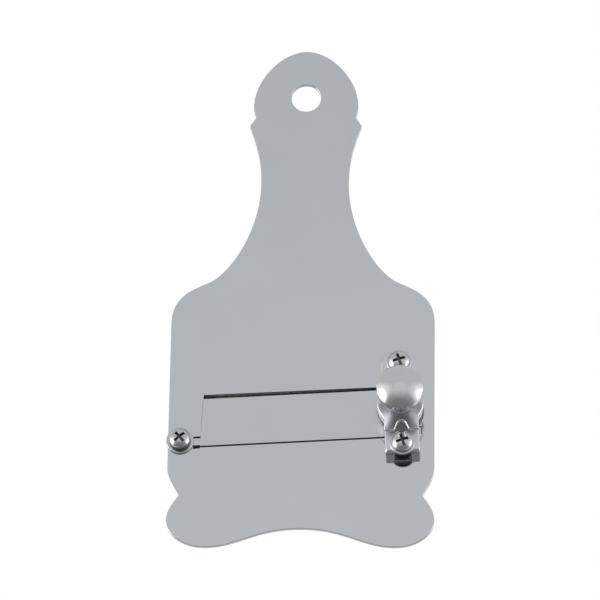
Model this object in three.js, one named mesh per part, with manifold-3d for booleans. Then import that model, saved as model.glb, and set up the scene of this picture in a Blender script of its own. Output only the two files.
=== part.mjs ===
// Truffle slicer: a polished steel paddle with a slanted slicing blade that a knob lifts.
// Millimetres. +X is across the paddle, +Y towards the handle, +Z out of the knob's side.
// The origin is on the paddle's back face, at the middle of its length and width.
import * as THREE from "three";
import { mergeVertices } from "three/addons/utils/BufferGeometryUtils.js";
import Module from "manifold-3d";

const wasm = await Module();
wasm.setup();

// Paddle: thickness, and the widths of its outline from the head to the feet
const PADDLE_THICKNESS = 1.4;
const HEAD_WIDTH = 35.5;
const NECK_WIDTH = 33.9;
const EAR_WIDTH = 38.2;
const WAIST_WIDTH = 29.6;
const FLARE_WIDTH = 63.2;
const BODY_WIDTH = 87.7;
const HIP_WIDTH = 80;
const FOOT_WIDTH = 87.7;
const TOE_SPACING = 62.2;

// Paddle: lengths of the same stretches, which add up to its whole length
const HEAD_DROP = 21;
const NECK_DROP = 4.2;
const EAR_DROP = 3.1;
const HANDLE_DROP = 21.5;
const FLARE_DROP = 36.6;
const SHOULDER_DROP = 15.1;
const SIDE_LENGTH = 51;
const HIP_DROP = 10.4;
const LOBE_DROP = 8.4;
const FOOT_DROP = 9.35;
const ARCH_RISE = 6.4;

// Paddle: how full its curves are, as shares of the stretch that they cross, and their lean
const HEAD_TOP_FULLNESS = 0.46;
const HEAD_SIDE_FULLNESS = 0.51;
const NECK_FULLNESS = 0.57;
const EAR_ROUNDING = 0.8;
const EAR_LEAN = THREE.MathUtils.degToRad(19.6);
const HANDLE_FULLNESS = 0.37;
const FLARE_FULLNESS = 0.49;
const FLARE_LEAN = THREE.MathUtils.degToRad(25);
const FLARE_TAIL = 0.2;
const SHOULDER_HEAD = 0.41;
const SHOULDER_FULLNESS = 0.67;
const HIP_FULLNESS = 0.47;
const HIP_TAIL = 0.34;
const HIP_LEAN = THREE.MathUtils.degToRad(23);
const LOBE_HEAD = 0.4;
const LOBE_LEAN = THREE.MathUtils.degToRad(41);
const LOBE_FULLNESS = 0.32;
const ELLIPSE_FULLNESS = 0.5523;
const TOE_FULLNESS = 0.35;
const ARCH_FULLNESS = 0.48;
const HANG_HOLE_DIAMETER = 10;
const HANG_HOLE_DROP = 17.7;

// Cutter: its slant in the paddle, and its pivot line's height over the feet on the centre line
const SLANT = THREE.MathUtils.degToRad(3.1);
const PIVOT_RISE = 38.9;

// Blade: a round right end about the knob's axis, and a straight edge a step behind its crown
const EAR_RADIUS = 7.4;
const EAR_DIP = 0.5;
const EDGE_STEP = 0.7;
const BLADE_THICKNESS = 0.8;
const BLADE_REST_TILT = THREE.MathUtils.degToRad(2.8);
const REAR_LIP = 0.3;
const BEVEL_LENGTH = 2.6;
const BEVEL_RUNOUT = 0.5;
const EDGE_LAND = 0.12;

// Opening around the blade
const OPENING_INSET = 12.25;
const LEFT_EDGE_LEAN = 0.105;
const SLOT_TAPER = 0.45;
const REAR_GAP = 0.65;
const SIDE_GAP = 0.2;
const BULGE_GAP = 0.4;

// Blade tabs, and the notches in the paddle that they lie in
const TAB_WIDTH = 2.4;
const TAB_END_GAP = 0.6;
const LEFT_NOTCH_WALL = 0.75;
const LEFT_NOTCH_FRONT_GAP = 0.45;
const LEFT_NOTCH_REAR_GAP = 1.3;
const RIGHT_NOTCH_REACH = 6.8;
const RIGHT_NOTCH_FRONT_GAP = 0.7;
const RIGHT_NOTCH_REAR_GAP = 0.4;

// Knob, its threaded stem, the ring that keeps the stem in the bridge, and the blade's boss
const KNOB_INSET = 10.75;
const KNOB_DIAMETER = 15.1;
const KNOB_RIM_HEIGHT = 12.6;
const KNOB_BAND_HEIGHT = 2.6;
const KNOB_DOME_HEIGHT = 2.7;
const KNOB_RIM_ROUNDING = 0.35;
const COLLAR_DIAMETER = 9.2;
const COLLAR_HEIGHT = 1.2;
const KNOB_NECK_DIAMETER = 8.2;
const KNOB_NECK_HEIGHT = 4.2;
const STEM_DIAMETER = 4;
const STEM_SOCKET_DEPTH = 8;
const STEM_BELOW_PADDLE = 1.6;
const SOCKET_CLEARANCE = 0.1;
const STEM_PLAY = 0.4;
const STEM_BEARING_CLEARANCE = 0.1;
const KNOB_RUNNING_GAP = 0.1;
const RING_DIAMETER = 7.2;
const RING_THICKNESS = 0.6;
const RING_MOUTH = THREE.MathUtils.degToRad(85);
const GROOVE_DEPTH = 0.45;
const GROOVE_CLEARANCE = 0.1;
const BOSS_THICKNESS = 1.2;

// Bridge that carries the knob, and the friction leaf on top of it
const BRIDGE_RISE = 4;
const BRIDGE_THICKNESS = 1.2;
const BRIDGE_WIDTH = 11.4;
const BRIDGE_TAIL = 3.25;
const BEND_RADIUS = 0.3;
const LEG_CLEARANCE = 0.1;
const BRIDGE_NOSE = 4.5;
const UPPER_SCREW_REACH = 13.85;
const UPPER_SCREW_SHIFT = 0.3;
const LOWER_SCREW_INSET = 4.2;
const PAD_DIAMETER = 15.4;
const PAD_FILLET = 3.5;
const LEAF_THICKNESS = 0.8;
const LEAF_END_GAP = 0.35;
const LEAF_NOTCH_WIDTH = 5.7;
const LEAF_NOTCH_DEPTH = 3.3;
const LEAF_NOTCH_CROWN = 0.67;
const LEAF_NOTCH_FLARE = 0.6;
const SPACER_WALL = 0.25;

// Keepers that hold the blade's right tab in its notch, from the front and from the back
const KEEPER_THICKNESS = 0.8;
const KEEPER_BOSS_GAP = 0.45;
const KEEPER_REAR_MARGIN = 0.85;
const KEEPER_EYE_WALL = 0.35;
const KEEPER_INSET = 0.4;

// Fasteners
const PIVOT_SCREW_INSET = 3.95;
const PIVOT_SCREW_Y = 0.3;
const SCREW_DIAMETER = 4;
const SCREW_CLEARANCE = 0.15;
const SCREW_HEAD_DIAMETER = 7;
const SCREW_HEAD_HEIGHT = 2.6;
const SCREW_HEAD_EDGE = 0.6;
const SCREW_END_INSET = 0.2;
const RECESS_SPAN = 4.2;
const RECESS_WIDTH = 0.95;
const RECESS_DEPTH = 1.5;
const PIVOT_WASHER_DIAMETER = 9.1;
const BRIDGE_WASHER_DIAMETER = 8.4;
const WASHER_THICKNESS = 0.8;
const LOCK_WASHER_DIAMETER = 7;
const LOCK_WASHER_THICKNESS = 1.1;
const LOCK_WASHER_SPLIT = THREE.MathUtils.degToRad(10);
const NUT_ACROSS_FLATS = 7;
const NUT_THICKNESS = 2.2;
const PIVOT_RECESS_TURN = THREE.MathUtils.degToRad(38);
const BRIDGE_RECESS_TURN = THREE.MathUtils.degToRad(15);

// Steps along curves and around turned pieces, and the longest facet of the paddle's faces
const OUTLINE_STEPS = 9;
const ROUND_STEPS = 28;
const KNOB_STEPS = 40;
const LIP_STEPS = 3;
const DOME_STEPS = 9;
const CROWN_STEPS = 7;
const FACET_LENGTH = 25;
const MERGE_TOLERANCE = 1e-4;

// Sizes that follow from the ones above
const paddleLength =
  HEAD_DROP + NECK_DROP + EAR_DROP + HANDLE_DROP + FLARE_DROP + SHOULDER_DROP
  + SIDE_LENGTH + HIP_DROP + LOBE_DROP + FOOT_DROP;
const paddleTop = paddleLength / 2;
const pivotY = -paddleLength / 2 + PIVOT_RISE;
const pivotZ = PADDLE_THICKNESS / 2;
const tabHalf = TAB_WIDTH / 2;
const knobX = BODY_WIDTH / 2 - KNOB_INSET;
const knobY = tabHalf + EAR_RADIUS - EAR_DIP;
const edgeReach = knobY + EAR_RADIUS - EDGE_STEP;
const bladeRear = -tabHalf - REAR_LIP;
const openingRear = bladeRear - REAR_GAP;
const openingLeft = BODY_WIDTH / 2 - OPENING_INSET;
const bulgeRadius = EAR_RADIUS + BULGE_GAP;
const openingFrontRight = knobY + bulgeRadius;
const openingFrontLeft = openingFrontRight + SLOT_TAPER;
const screwHoleRadius = SCREW_DIAMETER / 2 + SCREW_CLEARANCE;
const pivotScrewX = PIVOT_SCREW_INSET - BODY_WIDTH / 2;
const leftNotchEnd = pivotScrewX + screwHoleRadius + LEFT_NOTCH_WALL;
const rightNotchEnd = knobX + RIGHT_NOTCH_REACH;
const stemRadius = STEM_DIAMETER / 2;
const stemHoleRadius = stemRadius + STEM_PLAY;
const bearingHoleRadius = stemRadius + STEM_BEARING_CLEARANCE;
const upperScrewX = knobX + UPPER_SCREW_SHIFT;
const upperScrewY = knobY + UPPER_SCREW_REACH;
const lowerScrewY = openingRear - LOWER_SCREW_INSET;
const lowerScrewReach = knobY - lowerScrewY;
const leafReach = lowerScrewReach - BRIDGE_WASHER_DIAMETER / 2 - LEAF_END_GAP;
const spacerDiameter = 2 * (screwHoleRadius + SPACER_WALL);
const keeperEye = screwHoleRadius + KEEPER_EYE_WALL;
const legOuterFace = -lowerScrewReach - BRIDGE_TAIL;
const bendReach = BRIDGE_THICKNESS + BEND_RADIUS;
const frontKeeperReach = tabHalf - EAR_DIP - KEEPER_BOSS_GAP;
const bridgeBottom = PADDLE_THICKNESS + BRIDGE_RISE;
const leafBottom = bridgeBottom + BRIDGE_THICKNESS;
const leafTop = leafBottom + LEAF_THICKNESS;
const knobBottom = leafTop + KNOB_RUNNING_GAP;
const pivotHeadSeat = PADDLE_THICKNESS + WASHER_THICKNESS + LOCK_WASHER_THICKNESS;
const upperHeadSeat = leafTop + WASHER_THICKNESS;
const lowerHeadSeat = leafBottom + WASHER_THICKNESS;
const backWasherBottom = -WASHER_THICKNESS;
const backKeeperBottom = -KEEPER_THICKNESS;

// Solids from three.js geometry, and back, for the few cuts
function solidOf(geometry) {
  const bare = geometry.clone();
  bare.deleteAttribute("normal");
  bare.deleteAttribute("uv");
  const merged = mergeVertices(bare, MERGE_TOLERANCE);
  const vertProperties = merged.attributes.position.array;
  const triVerts = new Uint32Array(merged.index.array);
  return new wasm.Manifold(new wasm.Mesh({ numProp: 3, vertProperties, triVerts }));
}

function geometryOf(solid) {
  const mesh = solid.getMesh();
  const geometry = new THREE.BufferGeometry();
  geometry.setAttribute("position", new THREE.BufferAttribute(mesh.vertProperties, 3));
  geometry.setIndex(new THREE.BufferAttribute(mesh.triVerts, 1));
  geometry.computeVertexNormals();
  return geometry;
}

// Points along a path, without the ones that repeat where two of its curves meet
function pointsOf(path) {
  const points = path.getPoints(OUTLINE_STEPS);
  return points.filter((p, i) => i === 0 || p.distanceTo(points[i - 1]) > MERGE_TOLERANCE);
}

// Flat sheets: an outline with holes, extruded upwards from z = 0
function circlePoints(x, y, radius, steps = ROUND_STEPS) {
  return new THREE.EllipseCurve(x, y, radius, radius).getPoints(steps).slice(1);
}

function sheet(outline, holes, thickness) {
  const clockwise = THREE.ShapeUtils.isClockWise(outline);
  const shape = new THREE.Shape(clockwise ? outline.toReversed() : outline);
  shape.holes = holes.map((points) => new THREE.Path(points));
  return new THREE.ExtrudeGeometry(shape, { depth: thickness, bevelEnabled: false });
}

function mirrored(half) {
  const other = half.slice(1, -1).reverse();
  return [...half, ...other.map((p) => new THREE.Vector2(-p.x, p.y))];
}

// Bars along x, from x = 0: a section of (y, z) points
function bar(section, length) {
  const turn = new THREE.Matrix4().makeBasis(
    new THREE.Vector3(0, 1, 0), new THREE.Vector3(0, 0, 1), new THREE.Vector3(1, 0, 0),
  );
  return sheet(section, [], length).applyMatrix4(turn);
}

// Round pieces: a profile of [radius, height] turned about the vertical axis
function turned(profile, steps = ROUND_STEPS) {
  const points = profile.map(([radius, height]) => new THREE.Vector2(radius, height));
  return new THREE.LatheGeometry(points, steps).rotateX(Math.PI / 2);
}

// Places in the slanted cutter, as seen in the paddle's own frame
function inPaddle(point) {
  return point.clone().rotateAround(new THREE.Vector2(), SLANT).add(new THREE.Vector2(0, pivotY));
}

// Paddle outline, right half from the top of the head down to the arch between the feet
function paddleHalf() {
  const head = paddleTop - HEAD_DROP;
  const neck = head - NECK_DROP;
  const ear = neck - EAR_DROP;
  const waist = ear - HANDLE_DROP;
  const flare = waist - FLARE_DROP;
  const sideTop = flare - SHOULDER_DROP;
  const sideEnd = sideTop - SIDE_LENGTH;
  const hip = sideEnd - HIP_DROP;
  const lobe = hip - LOBE_DROP;
  const toe = lobe - FOOT_DROP;
  const arch = toe + ARCH_RISE;
  const headX = HEAD_WIDTH / 2;
  const waistX = WAIST_WIDTH / 2;
  const bodyX = BODY_WIDTH / 2;
  const footX = FOOT_WIDTH / 2;
  const toeX = TOE_SPACING / 2;
  const neckPoint = new THREE.Vector2(NECK_WIDTH / 2, neck);
  const earTip = new THREE.Vector2(EAR_WIDTH / 2, ear);
  const earDown = new THREE.Vector2(-Math.sin(EAR_LEAN), -Math.cos(EAR_LEAN));
  const earStart = neckPoint.clone().sub(earTip).setLength(EAR_ROUNDING).add(earTip);
  const earEnd = earTip.clone().addScaledVector(earDown, EAR_ROUNDING);
  const earPull = earEnd.clone().addScaledVector(earDown, HANDLE_FULLNESS * HANDLE_DROP);
  const flarePoint = new THREE.Vector2(FLARE_WIDTH / 2, flare);
  const flareRun = new THREE.Vector2(Math.cos(FLARE_LEAN), -Math.sin(FLARE_LEAN));
  const flarePull = flarePoint.clone().addScaledVector(flareRun, -FLARE_TAIL * FLARE_DROP);
  const shoulderPull = flarePoint.clone().addScaledVector(flareRun, SHOULDER_HEAD * SHOULDER_DROP);
  const hipPoint = new THREE.Vector2(HIP_WIDTH / 2, hip);
  const hipRun = new THREE.Vector2(Math.sin(HIP_LEAN), Math.cos(HIP_LEAN));
  const hipPull = hipPoint.clone().addScaledVector(hipRun, HIP_TAIL * HIP_DROP);
  const lobeRun = new THREE.Vector2(Math.sin(LOBE_LEAN), -Math.cos(LOBE_LEAN));
  const lobePull = hipPoint.clone().addScaledVector(lobeRun, LOBE_HEAD * LOBE_DROP);
  const toeRun = footX - toeX;

  const path = new THREE.Path();
  path.moveTo(0, paddleTop);
  path.bezierCurveTo(
    HEAD_TOP_FULLNESS * headX, paddleTop, headX, head + HEAD_SIDE_FULLNESS * HEAD_DROP, headX, head,
  );
  path.quadraticCurveTo(headX, neck + NECK_FULLNESS * NECK_DROP, neckPoint.x, neckPoint.y);
  path.lineTo(earStart.x, earStart.y);
  path.quadraticCurveTo(earTip.x, earTip.y, earEnd.x, earEnd.y);
  path.bezierCurveTo(
    earPull.x, earPull.y, waistX, waist + HANDLE_FULLNESS * HANDLE_DROP, waistX, waist,
  );
  path.bezierCurveTo(
    waistX, waist - FLARE_FULLNESS * FLARE_DROP, flarePull.x, flarePull.y, flarePoint.x, flarePoint.y,
  );
  path.bezierCurveTo(
    shoulderPull.x, shoulderPull.y, bodyX, sideTop + SHOULDER_FULLNESS * SHOULDER_DROP, bodyX, sideTop,
  );
  path.lineTo(bodyX, sideEnd);
  path.bezierCurveTo(
    bodyX, sideEnd - HIP_FULLNESS * HIP_DROP, hipPull.x, hipPull.y, hipPoint.x, hipPoint.y,
  );
  path.bezierCurveTo(
    lobePull.x, lobePull.y, footX, lobe + LOBE_FULLNESS * LOBE_DROP, footX, lobe,
  );
  path.bezierCurveTo(
    footX, lobe - ELLIPSE_FULLNESS * FOOT_DROP, toeX + ELLIPSE_FULLNESS * toeRun, toe, toeX, toe,
  );
  path.bezierCurveTo(toeX - TOE_FULLNESS * toeX, toe, ARCH_FULLNESS * toeX, arch, 0, arch);
  return pointsOf(path);
}

// Left edge of the opening, which leans, at a distance in front of the pivot line
function openingLeftAt(y) {
  return -openingLeft - (openingFrontLeft - y) * LEFT_EDGE_LEAN;
}

// Where the blade's round right end meets its edge, and the front of its tab
function bladeEarStart() {
  return knobX - Math.sqrt(EAR_RADIUS ** 2 - (edgeReach - knobY) ** 2);
}

function bladeTabRoot() {
  return knobX + Math.sqrt(EAR_RADIUS ** 2 - (knobY - tabHalf) ** 2);
}

// Opening in the paddle: straight front and rear, a bulge under the knob and two tab notches
function openingPoints() {
  const leftFront = tabHalf + LEFT_NOTCH_FRONT_GAP;
  const leftRear = -tabHalf - LEFT_NOTCH_REAR_GAP;
  const rightFront = tabHalf + RIGHT_NOTCH_FRONT_GAP;
  const rightRear = -tabHalf - RIGHT_NOTCH_REAR_GAP;
  const rightRoot = bladeTabRoot() + BULGE_GAP;
  const bulgeEnd = Math.asin((rightFront - knobY) / bulgeRadius);
  const path = new THREE.Path();
  path.moveTo(-openingLeft, openingFrontLeft);
  path.lineTo(knobX, openingFrontRight);
  path.absarc(knobX, knobY, bulgeRadius, Math.PI / 2, bulgeEnd, true);
  path.lineTo(rightNotchEnd, rightFront);
  path.lineTo(rightNotchEnd, rightRear);
  path.lineTo(rightRoot, rightRear);
  path.lineTo(rightRoot, openingRear);
  path.lineTo(openingLeftAt(openingRear), openingRear);
  path.lineTo(openingLeftAt(openingRear), leftRear);
  path.lineTo(leftNotchEnd, leftRear);
  path.lineTo(leftNotchEnd, leftFront);
  path.lineTo(openingLeftAt(leftFront), leftFront);
  return pointsOf(path);
}

function paddleGeometry() {
  const hangHole = circlePoints(0, paddleTop - HANG_HOLE_DROP, HANG_HOLE_DIAMETER / 2);
  const screwHoles = [
    [pivotScrewX, PIVOT_SCREW_Y], [upperScrewX, upperScrewY], [knobX, lowerScrewY],
  ];
  const holes = [openingPoints().map(inPaddle), hangHole];
  for (const [x, y] of screwHoles) {
    holes.push(circlePoints(x, y, screwHoleRadius).map(inPaddle));
  }
  const whole = sheet(mirrored(paddleHalf()), holes, PADDLE_THICKNESS);
  return geometryOf(solidOf(whole).refineToLength(FACET_LENGTH));
}

// Blade: the plan outline, flat about the pivot line, with its edge ground from below
function bladeOutline() {
  const earStart = Math.PI - Math.asin((edgeReach - knobY) / EAR_RADIUS);
  const earEnd = Math.asin((tabHalf - knobY) / EAR_RADIUS);
  const tabRight = rightNotchEnd - TAB_END_GAP;
  const tabLeft = leftNotchEnd + TAB_END_GAP;
  const root = bladeTabRoot();
  const path = new THREE.Path();
  path.moveTo(openingLeftAt(edgeReach) + SIDE_GAP, edgeReach);
  path.lineTo(bladeEarStart(), edgeReach);
  path.absarc(knobX, knobY, EAR_RADIUS, earStart, earEnd, true);
  path.lineTo(tabRight, tabHalf);
  path.lineTo(tabRight, -tabHalf);
  path.lineTo(root, -tabHalf);
  path.lineTo(root, bladeRear);
  path.lineTo(openingLeftAt(bladeRear) + SIDE_GAP, bladeRear);
  path.lineTo(openingLeftAt(-tabHalf) + SIDE_GAP, -tabHalf);
  path.lineTo(tabLeft, -tabHalf);
  path.lineTo(tabLeft, tabHalf);
  path.lineTo(openingLeftAt(tabHalf) + SIDE_GAP, tabHalf);
  return pointsOf(path);
}

// The wedge that the grinding takes off below the edge, up to the blade's round right end
function bevelWedge() {
  const leftX = leftNotchEnd;
  const rightX = bladeEarStart() - BEVEL_RUNOUT;
  const top = BLADE_THICKNESS / 2 - EDGE_LAND;
  const bottom = -BLADE_THICKNESS;
  const start = -BEVEL_LENGTH;
  const section = [
    new THREE.Vector2(0, top),
    new THREE.Vector2(start, -BLADE_THICKNESS / 2),
    new THREE.Vector2(start, bottom),
    new THREE.Vector2(BEVEL_LENGTH, bottom),
    new THREE.Vector2(BEVEL_LENGTH, top),
  ];
  const wedge = bar(section, rightX - leftX);
  wedge.translate(leftX, edgeReach, 0);
  return wedge;
}

function bladeGeometry() {
  const stemHole = circlePoints(knobX, knobY, stemHoleRadius);
  const flat = sheet(bladeOutline(), [stemHole], BLADE_THICKNESS);
  flat.translate(0, 0, -BLADE_THICKNESS / 2);
  return geometryOf(solidOf(flat).subtract(solidOf(bevelWedge())));
}

// Strap outline around the knob's axis: right half of its pad and its rounded nose
function strapUpperHalf(path) {
  const halfWidth = BRIDGE_WIDTH / 2;
  const padRadius = PAD_DIAMETER / 2;
  const filletX = halfWidth + PAD_FILLET;
  const filletY = Math.sqrt((padRadius + PAD_FILLET) ** 2 - filletX ** 2);
  const padAngle = Math.atan2(filletY, filletX);
  path.absarc(filletX, -filletY, PAD_FILLET, Math.PI, Math.PI - padAngle, true);
  path.absarc(0, 0, padRadius, -padAngle, padAngle, false);
  path.absarc(filletX, filletY, PAD_FILLET, padAngle - Math.PI, -Math.PI, true);
  path.absellipse(0, UPPER_SCREW_REACH, halfWidth, BRIDGE_NOSE, 0, Math.PI / 2, false);
}

// Bridge: a strap whose tail is bent down to the paddle, as two legs beside the lower screw
function bridgeTail() {
  const bendY = legOuterFace + bendReach;
  const path = new THREE.Path();
  path.moveTo(-lowerScrewReach, BRIDGE_THICKNESS);
  path.absarc(bendY, -BEND_RADIUS, bendReach, Math.PI / 2, Math.PI, false);
  path.lineTo(legOuterFace, -BRIDGE_RISE);
  path.lineTo(legOuterFace + BRIDGE_THICKNESS, -BRIDGE_RISE);
  path.absarc(bendY, -BEND_RADIUS, BEND_RADIUS, Math.PI, Math.PI / 2, true);
  path.lineTo(-lowerScrewReach, 0);
  return bar(pointsOf(path), BRIDGE_WIDTH).translate(-BRIDGE_WIDTH / 2, 0, 0);
}

function legNotch() {
  const width = 2 * (keeperEye + LEG_CLEARANCE);
  return new THREE.BoxGeometry(width, 2 * bendReach, 2 * BRIDGE_RISE).translate(0, legOuterFace, -BRIDGE_RISE);
}

function bridgeGeometry() {
  const flatEnd = legOuterFace + bendReach;
  const path = new THREE.Path();
  path.moveTo(0, flatEnd);
  path.lineTo(BRIDGE_WIDTH / 2, flatEnd);
  strapUpperHalf(path);
  const holes = [
    circlePoints(0, 0, bearingHoleRadius),
    circlePoints(UPPER_SCREW_SHIFT, UPPER_SCREW_REACH, screwHoleRadius),
  ];
  const strap = solidOf(sheet(mirrored(pointsOf(path)), holes, BRIDGE_THICKNESS));
  const bore = sheet(circlePoints(0, -lowerScrewReach, screwHoleRadius), [], 2 * bendReach);
  bore.translate(0, 0, -BEND_RADIUS);
  const bent = strap.add(solidOf(bridgeTail()));
  return geometryOf(bent.subtract(solidOf(bore)).subtract(solidOf(legNotch())));
}

// Friction leaf: the bridge's nose and pad again, cut short with a bell-shaped notch
function leafGeometry() {
  const tail = -leafReach;
  const crown = tail + LEAF_NOTCH_DEPTH;
  const mouth = LEAF_NOTCH_WIDTH / 2;
  const path = new THREE.Path();
  path.moveTo(0, crown);
  path.bezierCurveTo(LEAF_NOTCH_CROWN * mouth, crown, LEAF_NOTCH_FLARE * mouth, tail, mouth, tail);
  path.lineTo(BRIDGE_WIDTH / 2, tail);
  strapUpperHalf(path);
  const holes = [
    circlePoints(0, 0, bearingHoleRadius),
    circlePoints(UPPER_SCREW_SHIFT, UPPER_SCREW_REACH, screwHoleRadius),
  ];
  return sheet(mirrored(pointsOf(path)), holes, LEAF_THICKNESS);
}

// Keeper plate: an eye around the lower screw, and a bar that lies along the blade's tab
function keeperGeometry(frontReach) {
  const halfWidth = BRIDGE_WIDTH / 2 - KEEPER_INSET;
  const front = frontReach - lowerScrewY;
  const rear = openingRear - KEEPER_REAR_MARGIN - lowerScrewY;
  const path = new THREE.Path();
  path.absarc(0, 0, keeperEye, -Math.PI / 2, 0, false);
  path.lineTo(halfWidth, rear);
  path.lineTo(halfWidth, front);
  path.lineTo(0, front);
  const outline = mirrored(pointsOf(path));
  return sheet(outline, [circlePoints(0, 0, screwHoleRadius)], KEEPER_THICKNESS);
}

// Knob: a collar, a neck, a cone up to the rim's band and a dome, with a socket for the stem from below
function knobGeometry() {
  const socket = stemRadius + SOCKET_CLEARANCE;
  const socketTop = STEM_SOCKET_DEPTH + SOCKET_CLEARANCE;
  const collar = COLLAR_DIAMETER / 2;
  const neck = KNOB_NECK_DIAMETER / 2;
  const rim = KNOB_DIAMETER / 2;
  const band = KNOB_RIM_HEIGHT - KNOB_BAND_HEIGHT;
  const lip = new THREE.EllipseCurve(
    rim - KNOB_RIM_ROUNDING, band, KNOB_RIM_ROUNDING, KNOB_RIM_ROUNDING, -Math.PI / 2, 0,
  );
  const radius = (rim ** 2 + KNOB_DOME_HEIGHT ** 2) / (2 * KNOB_DOME_HEIGHT);
  const dome = new THREE.EllipseCurve(
    0, KNOB_RIM_HEIGHT + KNOB_DOME_HEIGHT - radius, radius, radius, Math.acos(rim / radius), Math.PI / 2,
  );
  const curve = [
    ...lip.getPoints(LIP_STEPS),
    ...dome.getPoints(DOME_STEPS).slice(0, -1),
  ];
  const profile = [
    [0, socketTop], [socket, socketTop], [socket, 0], [collar, 0], [collar, COLLAR_HEIGHT],
    [neck, COLLAR_HEIGHT], [neck, KNOB_NECK_HEIGHT],
  ];
  for (const point of curve) profile.push([point.x, point.y]);
  profile.push([0, KNOB_RIM_HEIGHT + KNOB_DOME_HEIGHT]);
  return turned(profile, KNOB_STEPS);
}

// Stem: from its socket in the knob down through the blade, with a groove under the bridge
function stemGeometry() {
  const top = knobBottom + STEM_SOCKET_DEPTH;
  const grooveTop = bridgeBottom;
  const grooveEnd = grooveTop - RING_THICKNESS - 2 * GROOVE_CLEARANCE;
  const groove = stemRadius - GROOVE_DEPTH;
  return turned([
    [0, -STEM_BELOW_PADDLE],
    [stemRadius, -STEM_BELOW_PADDLE],
    [stemRadius, grooveEnd],
    [groove, grooveEnd],
    [groove, grooveTop],
    [stemRadius, grooveTop],
    [stemRadius, top],
    [0, top],
  ]);
}

// A ring with an open mouth: the one in the stem's groove, and the lock washer
function openRing(outer, inner, mouth, thickness) {
  const start = mouth / 2;
  const end = 2 * Math.PI - start;
  const path = new THREE.Path();
  path.absarc(0, 0, outer, start, end, false);
  path.absarc(0, 0, inner, end, start, true);
  return sheet(pointsOf(path), [], thickness);
}

function discGeometry(diameter, holeRadius, thickness) {
  return sheet(circlePoints(0, 0, diameter / 2), [circlePoints(0, 0, holeRadius)], thickness);
}

function nutGeometry() {
  const hexagon = circlePoints(0, 0, NUT_ACROSS_FLATS / Math.sqrt(3), 6);
  return sheet(hexagon, [circlePoints(0, 0, screwHoleRadius)], NUT_THICKNESS);
}

// Pan-head screw with a cross recess, its head's underside at z = 0
function screwGeometry(length, recessTurn) {
  const shank = SCREW_DIAMETER / 2;
  const head = SCREW_HEAD_DIAMETER / 2;
  const crown = new THREE.EllipseCurve(
    0, SCREW_HEAD_EDGE, head, SCREW_HEAD_HEIGHT - SCREW_HEAD_EDGE, 0, Math.PI / 2,
  );
  const profile = [[0, -length], [shank, -length], [shank, 0], [head, 0]];
  for (const point of crown.getPoints(CROWN_STEPS).slice(0, -1)) profile.push([point.x, point.y]);
  profile.push([0, SCREW_HEAD_HEIGHT]);
  let screw = solidOf(turned(profile));
  for (const turn of [recessTurn, recessTurn + Math.PI / 2]) {
    const slot = new THREE.BoxGeometry(RECESS_SPAN, RECESS_WIDTH, 2 * RECESS_DEPTH);
    slot.rotateZ(turn);
    slot.translate(0, 0, SCREW_HEAD_HEIGHT);
    screw = screw.subtract(solidOf(slot));
  }
  return geometryOf(screw);
}

// Finishes, one for each piece
function steel(color, roughness) {
  return new THREE.MeshStandardMaterial({ color, roughness, metalness: 1 });
}

function place(parent, name, geometry, material, x, y, z) {
  const mesh = new THREE.Mesh(geometry, material);
  mesh.name = name;
  mesh.position.set(x, y, z);
  parent.add(mesh);
}

function addPaddle(slicer) {
  place(slicer, "paddle", paddleGeometry(), steel(0xb2b6ba, 0.18), 0, 0, 0);
}

// Blade and its boss turn together about the pivot line
function addBlade(cutter) {
  const tilting = new THREE.Group();
  tilting.position.z = pivotZ;
  tilting.rotation.x = BLADE_REST_TILT;
  const bossHeight = BLADE_THICKNESS / 2;
  const boss = discGeometry(2 * EAR_RADIUS, stemHoleRadius, BOSS_THICKNESS);
  place(tilting, "blade", bladeGeometry(), steel(0xb1b4b8, 0.2), 0, 0, 0);
  place(tilting, "blade_boss", boss, steel(0xb4b6b8, 0.25), knobX, knobY, bossHeight);
  cutter.add(tilting);
}

function addKnob(cutter) {
  const ringZ = bridgeBottom - GROOVE_CLEARANCE - RING_THICKNESS;
  const ringInner = stemRadius - GROOVE_DEPTH + GROOVE_CLEARANCE;
  const ring = openRing(RING_DIAMETER / 2, ringInner, RING_MOUTH, RING_THICKNESS);
  place(cutter, "knob", knobGeometry(), steel(0xc6c8ca, 0.15), knobX, knobY, knobBottom);
  place(cutter, "knob_stem", stemGeometry(), steel(0xa8aaac, 0.3), knobX, knobY, 0);
  place(cutter, "stem_ring", ring, steel(0x8c8e90, 0.35), knobX, knobY, ringZ);
}

function addBridge(cutter) {
  const lowerSpacerBottom = PADDLE_THICKNESS + KEEPER_THICKNESS;
  const upperSpacer = discGeometry(spacerDiameter, screwHoleRadius, BRIDGE_RISE);
  const lowerSpacer = discGeometry(spacerDiameter, screwHoleRadius, BRIDGE_RISE - KEEPER_THICKNESS);
  const frontKeeper = keeperGeometry(frontKeeperReach);
  const backKeeper = keeperGeometry(tabHalf);
  const dark = 0x46474a;
  place(cutter, "bridge", bridgeGeometry(), steel(0xb6b9bc, 0.2), knobX, knobY, bridgeBottom);
  place(cutter, "friction_leaf", leafGeometry(), steel(0xb8bbbe, 0.2), knobX, knobY, leafBottom);
  place(cutter, "upper_spacer", upperSpacer, steel(dark, 0.35), upperScrewX, upperScrewY, PADDLE_THICKNESS);
  place(cutter, "lower_spacer", lowerSpacer, steel(dark, 0.35), knobX, lowerScrewY, lowerSpacerBottom);
  place(cutter, "front_keeper", frontKeeper, steel(dark, 0.35), knobX, lowerScrewY, PADDLE_THICKNESS);
  place(cutter, "back_keeper", backKeeper, steel(dark, 0.35), knobX, lowerScrewY, backKeeperBottom);
}

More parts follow.
